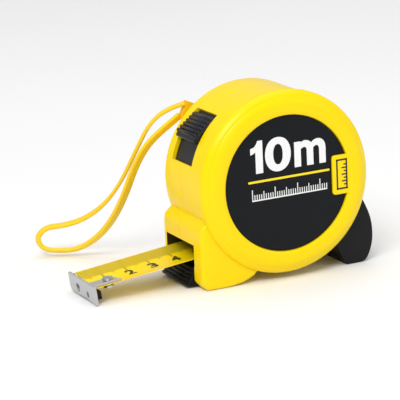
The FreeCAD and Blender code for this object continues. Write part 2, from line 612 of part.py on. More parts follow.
# ---------------------------------------------------------------- belt clip
# Spring steel, folded over at the top. Its inner leg lies on the far disc under one screw.
clip_y = "Dim.label_floor + Dim.label_thick"
CLIP_SIDE = [("0", "32"), ("0", "61"), ("1.2", "62.6"), ("6.2", "62.6"), ("7.6", "60.8"),
             ("7.6", "40"), ("4.4", "17"), ("6.6", "11.6"), ("5.7", "11.2"), ("3.3", "17"),
             ("6.6", "40"), ("6.6", "60.2"), ("5.8", "61.5"), ("1.7", "61.5"), ("1.0", "60.4"),
             ("1.0", "32")]
clip = prism("clip", [(f"{clip_y} + {y}", z) for y, z in CLIP_SIDE], "Dim.clip_half", plane="YZ_Plane")
clip_hole = rod("clip_hole", "Dim.screw_radius + 0.1", "3", y=f"{clip_y} - 1", z="Dim.clip_screw_z")
driver_hole = rod("driver_hole", "3.2", "4", y=f"{clip_y} + 5", z="Dim.clip_screw_z")
node(cut("clip_cut", clip, clip_hole, driver_hole), "belt_clip")
clip_head = rod("clip_head", "2.8", "1.4", y=f"{clip_y} + 1", z="Dim.clip_screw_z")
clip_shank = rod("clip_shank", "Dim.screw_radius", "4.4", y=f"{clip_y} - 3.4", z="Dim.clip_screw_z")
clip_slot = block("clip_slot", "-1.8", f"{clip_y} + 1.7", "Dim.clip_screw_z - 0.35", "3.6", "1", "0.7")
node(cut("clip_screw_cut", join("clip_screw_body", clip_head, clip_shank), clip_slot), "clip_screw")

# ---------------------------------------------------------------- check and write
doc.recompute()
for piece in doc.Objects:
    if "Invalid" in piece.State or "Error" in piece.State:
        raise RuntimeError(f"{piece.Name} failed: {piece.State}")
to_origin = Vector(-size("Dim.foot_x"), 0, 0)
for piece in NODES:
    if piece.Shape.isNull() or not piece.Shape.isValid():
        raise RuntimeError(f"{piece.Label} has no valid shape")
    shape = piece.Shape.copy()
    shape.translate(to_origin)
    shape.exportStep(f"parts/{piece.Label}.step")
    box = shape.optimalBoundingBox(False)
    print(f"{piece.Label:16s} {len(shape.Solids)} solid {shape.Volume:9.1f} mm3"
          f"  x {box.XMin:6.1f} {box.XMax:6.1f}  y {box.YMin:6.1f} {box.YMax:6.1f}"
          f"  z {box.ZMin:6.1f} {box.ZMax:6.1f}")
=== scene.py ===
import bpy
import bmesh
import math
from mathutils import Matrix, Vector


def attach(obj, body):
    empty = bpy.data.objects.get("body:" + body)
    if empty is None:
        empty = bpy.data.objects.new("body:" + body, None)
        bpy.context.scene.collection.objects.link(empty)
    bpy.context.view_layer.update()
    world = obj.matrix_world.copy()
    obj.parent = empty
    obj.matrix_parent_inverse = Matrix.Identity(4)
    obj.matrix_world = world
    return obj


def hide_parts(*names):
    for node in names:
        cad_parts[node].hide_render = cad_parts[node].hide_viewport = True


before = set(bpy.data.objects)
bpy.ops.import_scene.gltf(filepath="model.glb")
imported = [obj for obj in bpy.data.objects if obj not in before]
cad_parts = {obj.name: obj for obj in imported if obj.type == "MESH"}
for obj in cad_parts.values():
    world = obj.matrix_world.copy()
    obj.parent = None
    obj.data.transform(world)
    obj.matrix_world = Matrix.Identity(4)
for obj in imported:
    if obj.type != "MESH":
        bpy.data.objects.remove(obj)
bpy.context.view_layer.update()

# ---------------------------------------------------------------- housing
# Two moulded halves of glossy ABS, screwed together on the middle plane. Each half is a round
# shell with its half of the square chin and of the corner under the heel, and it is open for the
# blade's mouth, the brake's bay and the thumb lock.
scene = bpy.context.scene
MM = 0.001
AXLE = 39.5                     # height of the axle, in millimetres like all sizes below
START = Vector((-32.8, 0, 0))   # the axle's x in the frame, from which the sizes below count
SAME_POINT = 0.002 * MM         # points nearer to each other than this are merged


def finish(name, colour, rough, metal=0.0, grain=900.0, bump=0.02, shade=0.06, gloss=0.5,
           stretch=(1, 1, 1)):
    """A node material whose colour, roughness and bump vary a little with a fine noise that is
    tied to the piece itself."""
    material = bpy.data.materials.new(name)
    material.use_nodes = True
    tree = material.node_tree
    shader = tree.nodes["Principled BSDF"]
    place = tree.nodes.new("ShaderNodeTexCoord")
    scale = tree.nodes.new("ShaderNodeMapping")
    scale.inputs["Scale"].default_value = stretch
    noise = tree.nodes.new("ShaderNodeTexNoise")
    noise.inputs["Scale"].default_value = grain
    noise.inputs["Detail"].default_value = 3
    tree.links.new(place.outputs["Object"], scale.inputs["Vector"])
    tree.links.new(scale.outputs["Vector"], noise.inputs["Vector"])
    mix = tree.nodes.new("ShaderNodeMix")
    mix.data_type = "RGBA"
    mix.inputs[6].default_value = (*[c * (1 - shade) for c in colour], 1)
    mix.inputs[7].default_value = (*[min(1, c * (1 + shade)) for c in colour], 1)
    tree.links.new(noise.outputs["Fac"], mix.inputs["Factor"])
    tree.links.new(mix.outputs[2], shader.inputs["Base Color"])
    spread = tree.nodes.new("ShaderNodeMapRange")
    spread.inputs["To Min"].default_value = rough * 0.85
    spread.inputs["To Max"].default_value = min(1, rough * 1.15)
    tree.links.new(noise.outputs["Fac"], spread.inputs["Value"])
    tree.links.new(spread.outputs["Result"], shader.inputs["Roughness"])
    relief = tree.nodes.new("ShaderNodeBump")
    relief.inputs["Strength"].default_value = bump
    relief.inputs["Distance"].default_value = 0.0002
    tree.links.new(noise.outputs["Fac"], relief.inputs["Height"])
    tree.links.new(relief.outputs["Normal"], shader.inputs["Normal"])
    shader.inputs["Metallic"].default_value = metal
    shader.inputs["Specular IOR Level"].default_value = gloss
    return material


def add_mesh(name, vertices, faces, material, body=None):
    """A mesh from millimetres, which rides on a body if one is named."""
    mesh = bpy.data.meshes.new(name)
    mesh.from_pydata([(START + Vector(v)) * MM for v in vertices], [], faces)
    mesh.materials.append(material)
    piece = bpy.data.objects.new(name, mesh)
    scene.collection.objects.link(piece)
    if body:
        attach(piece, body)
    return piece


def shade(piece, angle=32):
    """Smooth normals, with the edges that turn by more than the angle left crisp."""
    edit = bmesh.new()
    edit.from_mesh(piece.data)
    bmesh.ops.remove_doubles(edit, verts=edit.verts, dist=SAME_POINT)
    bmesh.ops.recalc_face_normals(edit, faces=edit.faces)
    for face in edit.faces:
        face.smooth = True
    for edge in edit.edges:
        edge.smooth = len(edge.link_faces) == 2 and edge.calc_face_angle(0) < math.radians(angle)
    edit.to_mesh(piece.data)
    edit.free()
    return piece


def softened(corners, steps=5):
    """An outline (a, b, cut) whose corners are replaced with curves that start cut before them."""
    points = []
    count = len(corners)
    for i, (a, b, reach) in enumerate(corners):
        if reach == 0:
            points.append((a, b))
            continue
        here = Vector((a, b))
        before = Vector(corners[i - 1][:2]) - here
        after = Vector(corners[(i + 1) % count][:2]) - here
        first = here + before.normalized() * min(reach, before.length * 0.5)
        last = here + after.normalized() * min(reach, after.length * 0.5)
        for k in range(steps + 1):
            t = k / steps
            point = first * (1 - t) ** 2 + here * 2 * t * (1 - t) + last * t ** 2
            points.append((point.x, point.y))
    return [here for here, before in zip(points, points[-1:] + points) if math.dist(here, before) > 0.001]


def turned(name, outline, material, steps=288):
    """A closed (y, radius) outline turned about the axle."""
    count = len(outline)
    vertices, faces = [], []
    for i in range(steps):
        angle = 2 * math.pi * i / steps
        vertices += [(r * math.cos(angle), y, AXLE + r * math.sin(angle)) for y, r in outline]
        for k in range(count):
            a, b = i * count + k, i * count + (k + 1) % count
            c, d = (i + 1) % steps * count + (k + 1) % count, (i + 1) % steps * count + k
            faces.append((a, b, c, d))
    return add_mesh(name, vertices, faces, material)


def slab(name, outline, y_low, y_high, material, bevels=()):
    """An (x, z) outline with thickness along Y. Each bevel is (radius, chosen(middle))."""
    count = len(outline)
    vertices = [(x, y, z) for y in (y_low, y_high) for x, z in outline]
    faces = [tuple(range(count)), tuple(range(2 * count - 1, count - 1, -1))]
    faces += [(i, i + count, (i + 1) % count + count, (i + 1) % count) for i in range(count)]
    piece = add_mesh(name, vertices, faces, material)
    for radius, chosen in bevels:
        edit = bmesh.new()
        edit.from_mesh(piece.data)
        picked = [e for e in edit.edges if chosen((e.verts[0].co + e.verts[1].co) / 2 / MM - START)]
        bmesh.ops.bevel(edit, geom=picked, offset=radius * MM, segments=6, affect="EDGES", profile=0.5,
                        clamp_overlap=True)
        edit.to_mesh(piece.data)
        edit.free()
    edit = bmesh.new()
    edit.from_mesh(piece.data)
    bmesh.ops.remove_doubles(edit, verts=edit.verts, dist=SAME_POINT)
    bmesh.ops.recalc_face_normals(edit, faces=edit.faces)
    edit.to_mesh(piece.data)
    edit.free()
    return piece


def combine(piece, other, operation):
    """Apply a boolean with another piece, which is then removed."""
    bpy.context.view_layer.update()
    step = piece.modifiers.new("step", "BOOLEAN")
    step.operation = operation
    step.object = other
    step.solver = "EXACT"
    step.material_mode = "TRANSFER"
    graph = bpy.context.evaluated_depsgraph_get()
    mesh = bpy.data.meshes.new_from_object(piece.evaluated_get(graph))
    piece.modifiers.clear()
    piece.data = mesh
    bpy.data.objects.remove(other)
    return piece


def opening(piece, name, outline, reach, material):
    """Cut an (x, z) outline out of a piece, as far as reach on both sides of the middle."""
    combine(piece, slab(name, outline, -reach, reach, material), "DIFFERENCE")


def round_room(piece, name, reach, radius, material):
    """Cut a round room about the axle out of a piece, as far as reach on both sides."""
    core = 0.5
    room = turned(name, [(-reach, core), (-reach, radius), (reach, radius), (reach, core)], material, 144)
    combine(piece, shade(room), "DIFFERENCE")


def oblong(x_low, z_low, x_high, z_high):
    """The four corners of an upright rectangle."""
    return [(x_low, z_low), (x_high, z_low), (x_high, z_high), (x_low, z_high)]


def ring_point(radius, angle):
    """(x, z) at a radius and an angle round the axle, from +X up."""
    return radius * math.cos(math.radians(angle)), AXLE + radius * math.sin(math.radians(angle))


ANCHOR = (-20.2, 19.6, 63.2)    # the middle of the strap's anchor
ANCHOR_LEAN = 155               # the direction in which the strap leaves it, in degrees from +X up


def leaning_box(name, back, length, width, height):
    """A box on the strap anchor's own line, for the anchor's notch."""
    lean = math.radians(ANCHOR_LEAN)
    forward = Vector((math.cos(lean), 0, math.sin(lean)))
    across = Vector((math.sin(lean), 0, -math.cos(lean)))
    middle = Vector(ANCHOR)
    vertices = []
    for u in (back, back + length):
        for v in (-width / 2, width / 2):
            for w in (-height / 2, height / 2):
                vertices.append(middle + forward * u + Vector((0, v, 0)) + across * w)
    faces = [(0, 1, 3, 2), (4, 6, 7, 5), (0, 4, 5, 1), (2, 3, 7, 6), (0, 2, 6, 4), (1, 5, 7, 3)]
    return shade(add_mesh(name, vertices, faces, case_yellow))


SCREW_RING = 30.1               # the far side's screws are on this radius
SCREW_SEAT = 19.6               # the y of the faces that their heads press on
SINK_TOP = 26


def screw_sink(x, z, radius=2.05, steps=32):
    """The room for a screw's head, from its seat outwards."""
    around = [2 * math.pi * (k + 0.3) / steps for k in range(steps)]
    outline = [(x + radius * math.cos(angle), z + radius * math.sin(angle)) for angle in around]
    return slab("sink", outline, SCREW_SEAT, SINK_TOP, case_yellow)


case_yellow = finish("case_yellow", (0.96, 0.69, 0.0), 0.26, shade=0.02, bump=0.01, gloss=0.2)
# Painted shade: the mouth's inner faces get a near-black colour that stands in for the shadow deep inside
# the case.
mouth_painted_shade = finish("mouth_painted_shade", (0.035, 0.028, 0.006), 0.7, gloss=0.1)

SEAM = 0.05                     # half of the gap between the two halves
INSET = 0.03                    # keeps the corner's faces off the shell's faces
INNER_RADIUS = 33.6
# Sections of the shells, as (distance from the middle, radius, softening of the corner).
NEAR_SHELL = [(SEAM, INNER_RADIUS, 0), (SEAM, 35.75, 0), (0.28, 36.0, 0.08), (16.5, 36.0, 0.45),
              (16.5, 34.5, 0), (17.7, 34.5, 0), (17.7, 37.0, 1.2), (20.7, 37.0, 1.2), (22.4, 35.15, 0.7),
              (22.55, 34.5, 0.3), (22.8, 34.3, 0.25), (23.95, 32.6, 1.6), (24.0, 28.7, 1.1),
              (23.5, 27.5, 0.3), (22.1, 27.5, 0), (22.1, 4, 0), (19.8, 4, 0), (19.8, 30.6, 0),
              (14.8, 30.6, 0), (14.8, INNER_RADIUS, 0)]
FAR_SHELL = [(SEAM, INNER_RADIUS, 0), (SEAM, 35.75, 0), (0.28, 36.0, 0.08), (14.3, 36.0, 0.45),
             (14.3, 34.5, 0.2), (15.4, 34.5, 0), (15.4, 32.6, 0.2), (19.8, 32.6, 1.5), (22.4, 31.8, 1.2),
             (24.0, 30.2, 1.0), (24.0, 28.9, 0.6), (23.1, 27.5, 0.3), (22.1, 27.5, 0), (22.1, 4, 0),
             (19.8, 4, 0), (19.8, 30.6, 0), (12.6, 30.6, 0), (12.6, INNER_RADIUS, 0)]
CHIN = [(-37.3, 3, 0.8), (-34.8, 0, 0.8), (-25, 0, 2), (-19, 0.9, 2), (-14.4, 2.9, 1),
        (-8, 9, 0), (-12, 26, 0), (-32.4, 29.1, 1), (-37.3, 24.9, 2.4)]
CORNER = [(20, 14), (29.6, 2.6), (36.8, 3.4), (38.4, 8), (38.4, 18), (35.4, 25), (31, 30)]
LOCK_WINDOW = [ring_point(29, 167), ring_point(42, 165), ring_point(42, 129), ring_point(29, 129)]

# Each half: its side of the middle, its shell, the half widths of its chin and of its band, and
# the wall between the band and the round room in the chin.
for tag, side, shell, chin_half, band_half, wall in (("near", -1, NEAR_SHELL, 19.6, 16.5, 1.7),
                                                     ("far", 1, FAR_SHELL, 15.6, 14.3, 1.8)):
    half = turned(f"housing_{tag}_smooth", [(side * y, r) for y, r in softened(shell)], case_yellow)
    shade(half)
    for angle in (78, -9, -64) if side > 0 else ():
        combine(half, screw_sink(*ring_point(SCREW_RING, angle)), "DIFFERENCE")
    low, high = sorted((side * SEAM, side * chin_half))
    chin = slab(f"chin_{tag}", softened(CHIN), low, high, case_yellow,
                [(2.2, lambda m: abs(m.y - side * chin_half) < 0.01 and m.x < -9)])
    round_room(chin, "hollow", band_half - wall, INNER_RADIUS, case_yellow)
    combine(half, chin, "UNION")
    low, high = sorted((side * (SEAM + INSET), side * (band_half - INSET)))
    combine(half, slab("corner", CORNER, low, high, case_yellow), "UNION")
    opening(half, "rear_room", oblong(0, 12.4, 35.2, 21.4), 12.8, case_yellow)
    # The faces cut by the mouth take the near-black painted shade, so the inside of the case looks dark.
    opening(half, "mouth", oblong(-45, 8.8, -3, 17.6), 12.6, mouth_painted_shade)
    opening(half, "bay", oblong(-45, -1, -16.5, 10.5), 12.2, case_yellow)
    opening(half, "window", LOCK_WINDOW, 9, case_yellow)
    if side > 0:
        combine(half, leaning_box("notch", -5.2, 22, 4.2, 8.4), "DIFFERENCE")
        combine(half, leaning_box("strap_room", 3, 18, 9.6, 17), "DIFFERENCE")
    shade(half, 28)
    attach(half, "case")
    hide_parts(f"housing_{tag}")

# ---------------------------------------------------------------- reel
# A moulded drum and its cover that turn on a steel post in the housing. The painted blade is wound
# on the drum, and a flat steel spring inside it winds the blade back.
steel = finish("steel", (0.62, 0.62, 0.63), 0.26, metal=1.0, grain=2600, stretch=(1, 0.08, 1), bump=0.03)
reel_grey = finish("reel_grey", (0.45, 0.46, 0.48), 0.45)
blade_paint = finish("blade_paint", (0.97, 0.70, 0.003), 0.33, shade=0.02, bump=0.01, gloss=0.2)


def refinished(names, material):
    """Give a finish to pieces that keep their own shapes."""
    for name in names:
        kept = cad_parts[name]
        kept.data.materials.clear()
        kept.data.materials.append(material)


refinished(["reel_drum", "reel_cover"], reel_grey)
refinished(["spindle", "return_spring"], steel)
refinished(["blade_coil"], blade_paint)

# ---------------------------------------------------------------- side discs
# A thin black plastic disc lies in the recess of each side. The near one is the printed face of
# the tool and the far one, under the belt clip, is plain.
satin_black = finish("satin_black", (0.006, 0.007, 0.009), 0.42, grain=1400, bump=0.04, gloss=0.14)
DISC_RADIUS, DISC_FACE = 27.3, -22.8
disc_outline = [ring_point(DISC_RADIUS, 2.5 * i) for i in range(144)]
near_disc = slab("side_disc_near_face", disc_outline, DISC_FACE, -22.1, satin_black,
                 [(0.2, lambda m: m.y < DISC_FACE + 0.01)])
shade(near_disc)
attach(near_disc, "case")
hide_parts("side_disc_near")
refinished(["side_disc_far"], satin_black)

# ---------------------------------------------------------------- print on the near disc
# Ink on the disc's face: the length of the blade in large white figures, a yellow rule and a row
# of white scale marks. Like the print on the tab, it rises a little to the right.
print_white = finish("print_white", (0.86, 0.86, 0.86), 0.45)
print_yellow = finish("print_yellow", (0.96, 0.72, 0.0), 0.42, shade=0.02)
DISC_PRINT = -22.84             # y of the ink on the disc
PRINT_SLOPE = 0.011
BOLD = 0.03


def lettering(name, words, low, high, weight=0.0):
    """Flat figures that fill an (x, z) box in millimetres, as a mesh in the plane y = 0."""
    font = bpy.data.curves.new(name, "FONT")
    font.body = words
    font.offset = weight
    font.resolution_u = 8
    writing = bpy.data.objects.new(name, font)
    scene.collection.objects.link(writing)
    bpy.context.view_layer.update()
    mesh = bpy.data.meshes.new_from_object(writing.evaluated_get(bpy.context.evaluated_depsgraph_get()))
    bpy.data.objects.remove(writing)
    xs = [v.co.x for v in mesh.vertices]
    ys = [v.co.y for v in mesh.vertices]
    points = []
    for vertex in mesh.vertices:
        x = low[0] + (vertex.co.x - min(xs)) / (max(xs) - min(xs)) * (high[0] - low[0])
        z = low[1] + (vertex.co.y - min(ys)) / (max(ys) - min(ys)) * (high[1] - low[1])
        points.append((x, 0, z))
    return points, [tuple(face.vertices) for face in mesh.polygons]


def printed(name, parts, material, y):
    """One thin piece of print on the near side from several flat shapes."""
    vertices, faces = [], []
    for points, polygons in parts:
        start = len(vertices)
        vertices += [(x, y, z + PRINT_SLOPE * x) for x, _, z in points]
        faces += [tuple(i + start for i in polygon) for polygon in polygons]
    piece = add_mesh(name, vertices, faces, material, "case")
    edit = bmesh.new()
    edit.from_mesh(piece.data)
    for face in edit.faces:
        if face.normal.y > 0:
            face.normal_flip()
    edit.to_mesh(piece.data)
    edit.free()
    return piece


def bar(x_low, z_low, x_high, z_high, ends=0.0):
    """A flat bar of print, with round corners if ends is given."""
    outline = softened([(x_low, z_low, ends), (x_high, z_low, ends),
                        (x_high, z_high, ends), (x_low, z_high, ends)], 4)
    return [(x, 0, z) for x, z in outline], [tuple(range(len(outline)))]


one = [(-10.5, 0, 45.3), (-10.5, 0, 58.4), (-12.7, 0, 58.4), (-13.2, 0, 57.2), (-14.1, 0, 56.1),
       (-15.9, 0, 55.5), (-15.9, 0, 53.0), (-14.6, 0, 53.4), (-13.7, 0, 54.0), (-13.7, 0, 45.3)]
figures = [(one, [tuple(range(len(one)))]), lettering("nought", "0", (-9.5, 44.9), (1.9, 58.7), BOLD),
           lettering("m", "m", (3.4, 45.3), (17.4, 55.6), BOLD)]
SCALE_LEFT, SCALE_FOOT, SCALE_LINE = -15.8, 34.8, 34.3
marks = [bar(SCALE_LEFT + i, SCALE_FOOT, -15.42 + i,
             SCALE_FOOT + (4.2 if i % 10 == 0 else 3.2 if i % 5 == 0 else 2.1)) for i in range(34)]
base_line = bar(SCALE_LEFT, SCALE_LINE, 17.58, SCALE_FOOT)
printed("disc_figures", figures + marks + [base_line], print_white, DISC_PRINT)
printed("disc_rule", [bar(-17.3, 41.6, 18.9, 42.5, 0.4)], print_yellow, DISC_PRINT)

# ---------------------------------------------------------------- tab on the near side
# A raised tab of the housing's yellow plastic that laps over the edge of the disc. It carries the
# sign of a ruler in black ink, a frame with teeth along its right side.
print_black = finish("print_black", (0.015, 0.014, 0.012), 0.5)
TAB_FACE = -23.75
tab_outline = softened([(19.8, 31.7, 1.4), (28.3, 31.7, 0.6), (28.3, 47.7, 0.6), (19.8, 47.7, 1.4)], 6)
tab = slab("disc_tab", tab_outline, TAB_FACE, -22.75, case_yellow, [(0.3, lambda m: m.y < TAB_FACE + 0.05)])
shade(tab, 40)
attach(tab, "case")
sign = [bar(21.4, 33.4, 22.1, 45.8), bar(21.4, 33.4, 26.4, 34.1), bar(21.4, 45.1, 26.4, 45.8),
        bar(25.7, 33.4, 26.4, 45.8)]
sign += [bar(24.7 - (0.9 if i % 2 else 0), 35.1 + i * 1.36, 25.8, 35.65 + i * 1.36) for i in range(7)]
printed("tab_sign", sign, print_black, TAB_FACE - 0.04)

# ---------------------------------------------------------------- heel
# A moulded block of black rubber at the back, under the round of the case. It grips the corner of
# the housing, and the tool stands on it.
rubber_black = finish("rubber_black", (0.006, 0.006, 0.008), 0.5, grain=1800, bump=0.08, gloss=0.2)
HEEL_NEAR, HEEL_FAR = -17.3, 15.1
HEEL = [(28.6, 0, 0), (37, 0, 3), (39.2, 3.4, 2), (40.8, 8.4, 3), (40.8, 15, 3), (39.4, 20.5, 3),
        (35.8, 28, 3), (31.5, 33.5, 0), (20, 25, 0), (22.4, 11.2, 0)]


def heel_side(m):
    """True for an edge of one of the heel's two outer sides."""
    return min(abs(m.y - HEEL_NEAR), abs(m.y - HEEL_FAR)) < 0.01 and m.x > 29


heel = slab("rear_heel_smooth", softened(HEEL, 3), HEEL_NEAR, HEEL_FAR, rubber_black, [(1.2, heel_side)])
shade(heel)
round_room(heel, "band_room", 20, 36.05, rubber_black)
shade(heel)
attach(heel, "case")
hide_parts("rear_heel")

# ---------------------------------------------------------------- thumb lock
# A curved plate of black plastic that slides in the window of the housing. It has a raised ribbed
# block for the thumb, whose lower end overhangs like a lip, and an arm that reaches down to a
# rubber shoe over the blade.
lock_black = finish("lock_black", (0.008, 0.009, 0.014), 0.30, grain=1400, bump=0.04, gloss=0.3)
LOCK_HALF = 8.6


def sector(inner, outer, start, end, steps=24):
    """The outline of a part of a ring round the axle."""
    points = [ring_point(outer, start + (end - start) * i / steps) for i in range(steps + 1)]
    return points + [ring_point(inner, end - (end - start) * i / steps) for i in range(steps + 1)]


lock_plate = slab("lock_plate_smooth", sector(32.6, 34.6, 117, 177), -LOCK_HALF, LOCK_HALF, lock_black)
combine(lock_plate, slab("arm", sector(31.5, 33.0, 166, 218.5, 30), -4, 4, lock_black), "UNION")
# The block's section, as (radius, angle, softening of the corner).
BLOCK = [(33.5, 131.3, 0), (35.5, 131.3, 0.5), (36.2, 133.4, 0.8), (38.0, 148.6, 0.5),
         (37.8, 151.4, 0.6), (35.6, 151.0, 0.6), (34.9, 149.4, 0.5), (33.5, 149.4, 0)]
block_outline = softened([(*ring_point(radius, angle), cut) for radius, angle, cut in BLOCK])
thumb = slab("thumb", block_outline, -LOCK_HALF, LOCK_HALF, lock_black,
             [(0.4, lambda m: abs(abs(m.y) - LOCK_HALF) < 0.01)])
combine(lock_plate, thumb, "UNION")
shade(lock_plate, 35)

# One group of nodes repeats a small mesh along a step. The ribs here and on the brake, and the
# graduations of the blade, are such rows.
row_group = bpy.data.node_groups.new("row", "GeometryNodeTree")
row_group.interface.new_socket("Geometry", in_out="INPUT", socket_type="NodeSocketGeometry")
count_socket = row_group.interface.new_socket("Count", in_out="INPUT", socket_type="NodeSocketInt")
step_socket = row_group.interface.new_socket("Step", in_out="INPUT", socket_type="NodeSocketVector")
paint_socket = row_group.interface.new_socket("Paint", in_out="INPUT", socket_type="NodeSocketMaterial")
row_group.interface.new_socket("Geometry", in_out="OUTPUT", socket_type="NodeSocketGeometry")
given, line, copies, real, paint, result = [row_group.nodes.new(kind) for kind in (
    "NodeGroupInput", "GeometryNodeMeshLine", "GeometryNodeInstanceOnPoints",
    "GeometryNodeRealizeInstances", "GeometryNodeSetMaterial", "NodeGroupOutput")]
line.mode = "OFFSET"
for source, out_name, target, in_name in (
        (given, "Count", line, "Count"), (given, "Step", line, "Offset"), (line, "Mesh", copies, "Points"),
        (given, "Geometry", copies, "Instance"), (copies, "Instances", real, "Geometry"),
        (real, "Geometry", paint, "Geometry"), (given, "Paint", paint, "Material"),
        (paint, "Geometry", result, "Geometry")):
    row_group.links.new(source.outputs[out_name], target.inputs[in_name])


def repeated(piece, count, step, material):
    """Replace a piece's mesh with a row of it."""
    rows = piece.modifiers.new("row", "NODES")
    rows.node_group = row_group
    rows[count_socket.identifier] = count
    rows[step_socket.identifier] = Vector(step) * MM
    rows[paint_socket.identifier] = material
    bpy.context.view_layer.update()
    mesh = bpy.data.meshes.new_from_object(piece.evaluated_get(bpy.context.evaluated_depsgraph_get()))
    piece.modifiers.clear()
    piece.data = mesh
    return piece


def rib(name, place, radius, half, material, steps=20):
    """A bar along Y with rounded ends to its section."""
    vertices, faces = [], []
    stations = [(-half, radius * 0.7), (-half + 0.25, radius), (half - 0.25, radius), (half, radius * 0.7)]
    for y, r in stations:
        vertices += [(place[0] + r * math.cos(2 * math.pi * k / steps), y,
                      place[1] + r * math.sin(2 * math.pi * k / steps)) for k in range(steps)]
    for i in range(3):
        faces += [(i * steps + k, i * steps + (k + 1) % steps, (i + 1) * steps + (k + 1) % steps,
                   (i + 1) * steps + k) for k in range(steps)]
    faces += [tuple(range(steps)), tuple(range(4 * steps - 1, 3 * steps - 1, -1))]
    return shade(add_mesh(name, vertices, faces, material), 50)


LOCK_RIBS = 6
first, last = ring_point(35.75, 133.9), ring_point(37.75, 147.4)
lock_ribs = rib("lock_ribs", first, 0.88, 8.5, lock_black)
rib_step = ((last[0] - first[0]) / (LOCK_RIBS - 1), 0, (last[1] - first[1]) / (LOCK_RIBS - 1))
repeated(lock_ribs, LOCK_RIBS, rib_step, lock_black)
for piece in (lock_plate, lock_ribs):
    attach(piece, "lock")
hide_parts("lock_slider")
refinished(["lock_shoe"], rubber_black)

# ---------------------------------------------------------------- finger brake
# A moulded lever of black plastic under the blade, hung on a steel pin in the chin and pushed down
# by a coil spring in the gap at its back. Ribs across its front and underside give it grip.
BRAKE_HALF = 11.7
brake_outline = softened([(-40.6, 1.4, 0.4), (-39.4, 0.7, 0.4), (-22, 0.7, 1), (-17.9, 3.2, 1),
                          (-17.9, 6.2, 1), (-21.5, 7.4, 1), (-36.2, 7.4, 0.5)])
brake = slab("finger_brake_smooth", brake_outline, -BRAKE_HALF, BRAKE_HALF, satin_black,
             [(0.4, lambda m: abs(abs(m.y) - BRAKE_HALF) < 0.01)])
opening(brake, "spring_gap", [(-24, -1), (-15, -1), (-15, 8), (-17.4, 8), (-23.2, 5.0)], 3.3, satin_black)
shade(brake, 35)
brake_ribs = rib("brake_ribs", (-40.3, 1.9), 0.7, 11.1, satin_black)
repeated(brake_ribs, 5, (0.9, 0, 1.3), satin_black)
for piece in (brake, brake_ribs):
    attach(piece, "brake")
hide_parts("finger_brake")
refinished(["brake_pin", "brake_spring"], steel)

# ---------------------------------------------------------------- blade
# A strip of spring steel, rolled to a shallow hollow so that it stands out by itself, and painted
# yellow. It slopes down from the mouth to the hook at its front end.
BLADE_CURVE = 37.0              # radius of the hollow
BLADE_HALF = 12
BLADE_DEPTH = 25                # how far the blade's line passes below the axle
HOOK_REACH = 79.5               # from the axle to the blade's front end
DROOP = math.radians(6.5)
LIFT = AXLE - BLADE_DEPTH / math.cos(DROOP) - HOOK_REACH * math.tan(DROOP)


def on_blade(u, v, w):
    """The place of a point that is u along from the hook, v across and w above the middle."""
    return (-HOOK_REACH + u * math.cos(DROOP) - w * math.sin(DROOP), v,
            LIFT + u * math.sin(DROOP) + w * math.cos(DROOP))


def rise(v, radius=BLADE_CURVE):
    """The height w of a face of the hollow at v across, for that face's own radius."""
    return BLADE_CURVE - math.sqrt(radius ** 2 - v ** 2)


def strip(name, u_low, u_high, v_low, v_high, top, bottom, material, across=48, along=2):
    """A closed strip of the hollow section between two radii."""
    vertices, faces = [], []
    ring = [(v_low + (v_high - v_low) * k / across, top) for k in range(across + 1)]
    ring += [(v_high - (v_high - v_low) * k / across, bottom) for k in range(across + 1)]
    count = len(ring)
    for i in range(along + 1):
        u = u_low + (u_high - u_low) * i / along
        vertices += [on_blade(u, v, rise(v, r)) for v, r in ring]
    for i in range(along):
        faces += [(i * count + k, i * count + (k + 1) % count, (i + 1) * count + (k + 1) % count,
                   (i + 1) * count + k) for k in range(count)]
    half = count // 2
    for i in (0, along):
        faces += [(i * count + k, i * count + k + 1, i * count + count - 2 - k, i * count + count - 1 - k)
                  for k in range(half - 1)]
    return shade(add_mesh(name, vertices, faces, material), 40)


painted = strip("blade_painted", 0.6, 74.1, -BLADE_HALF, BLADE_HALF, BLADE_CURVE, 37.3, blade_paint)
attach(painted, "blade")
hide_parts("blade")

# ---------------------------------------------------------------- graduations of the blade
# Black ink on the paint, with a tick for every millimetre from the far edge inwards, longer ones
# for every 5 and 10, and a figure at each centimetre from 2 to 7.


def tick(name, u, thick, v_low, v_high):
    """One thin line of print across the blade's hollow."""
    vertices = []
    for k in range(9):
        v = v_low + (v_high - v_low) * k / 8
        vertices += [on_blade(u - thick / 2, v, rise(v) + INK), on_blade(u + thick / 2, v, rise(v) + INK)]
    faces = [(2 * k, 2 * k + 1, 2 * k + 3, 2 * k + 2) for k in range(8)]
    return add_mesh(name, vertices, faces, print_black)


step = Vector(on_blade(1, 0, 0)) - Vector(on_blade(0, 0, 0))
INK = 0.03                      # how far the ink stands off the paint
INK_EDGE = 11.9                 # where the ticks start, from the blade's middle line
for spacing, count, thick, reach in ((1, 73, 0.36, 6.4), (5, 14, 0.40, 7.6), (10, 7, 0.44, 8.8)):
    row = tick(f"blade_ticks_{spacing}", spacing, thick, INK_EDGE - reach, INK_EDGE)
    repeated(row, count, step * spacing, print_black)
    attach(row, "blade")

FIGURE_SIZE, FIGURE_LEFT, FIGURE_FOOT = (3.6, 6.2), -1.9, -3.6
vertices, faces = [], []
for number in range(2, 8):
    points, polygons = lettering("figure", str(number), (0, 0), FIGURE_SIZE, 0.04)
    begin = len(vertices)
    for x, _, z in points:
        u, v = 10 * number + FIGURE_LEFT + x, FIGURE_FOOT + z
        vertices.append(on_blade(u, v, rise(v) + INK))
    faces += [tuple(i + begin for i in polygon) for polygon in polygons]
add_mesh("blade_figures", vertices, faces, print_black, "blade")

# ---------------------------------------------------------------- hook
# A bent plate of plated steel that hangs on the blade's end by a steel rivet, with a little play.
# A black rubber buffer behind it meets the case when the blade runs in.
hook_steel = finish("hook_steel", (0.50, 0.50, 0.51), 0.36, metal=0.5, grain=1600, bump=0.02)
refinished(["end_hook"], hook_steel)
refinished(["hook_rivet"], steel)
refinished(["hook_bumper"], rubber_black)

